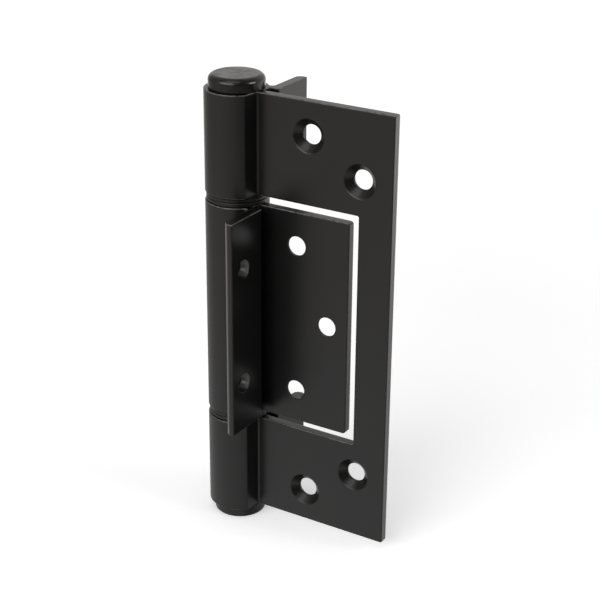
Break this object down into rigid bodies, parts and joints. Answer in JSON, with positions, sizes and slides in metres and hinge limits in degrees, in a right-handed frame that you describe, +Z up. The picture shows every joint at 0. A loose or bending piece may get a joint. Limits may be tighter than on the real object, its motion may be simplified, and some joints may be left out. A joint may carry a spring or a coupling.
{
  "type": "interfold hinge",
  "caption": "Interfold hinge whose flat inner leaf nests in the outer leaf's cut-out, with a capped pin barrel, flanged bushes and side flanges that lap over the panel faces.",
  "frame": {"origin": "midway between the outer leaf's two near screw holes, on the back face that seats on the panel edge", "axes": "+X along the leaves from the barrel to the free edge, +Y out of the outer leaf's seating face into its panel, +Z up along the pin"},
  "size_m": [0.0459, 0.0302, 0.1058],
  "materials": {
    "leaf_coating": "satin",
    "pin_steel": "satin",
    "bush_plastic": "matte",
    "cap_plastic": "satin"
  },
  "bodies": {
    "outer": {"outer_leaf": "leaf_coating", "hinge_pin": "pin_steel", "top_knuckle_bush": "bush_plastic", "bottom_knuckle_bush": "bush_plastic", "top_cap": "cap_plastic", "bottom_cap": "cap_plastic"},
    "inner": {"inner_leaf": "leaf_coating", "middle_upper_bush": "bush_plastic", "middle_lower_bush": "bush_plastic"}
  },
  "joints": [
    {"name": "leaf_swing", "type": "hinge", "parent": "outer", "child": "inner", "pos_m": [-0.01845, -0.001, 0], "axis": [0, 0, -1], "range_deg": [0, 180]}
  ]
}
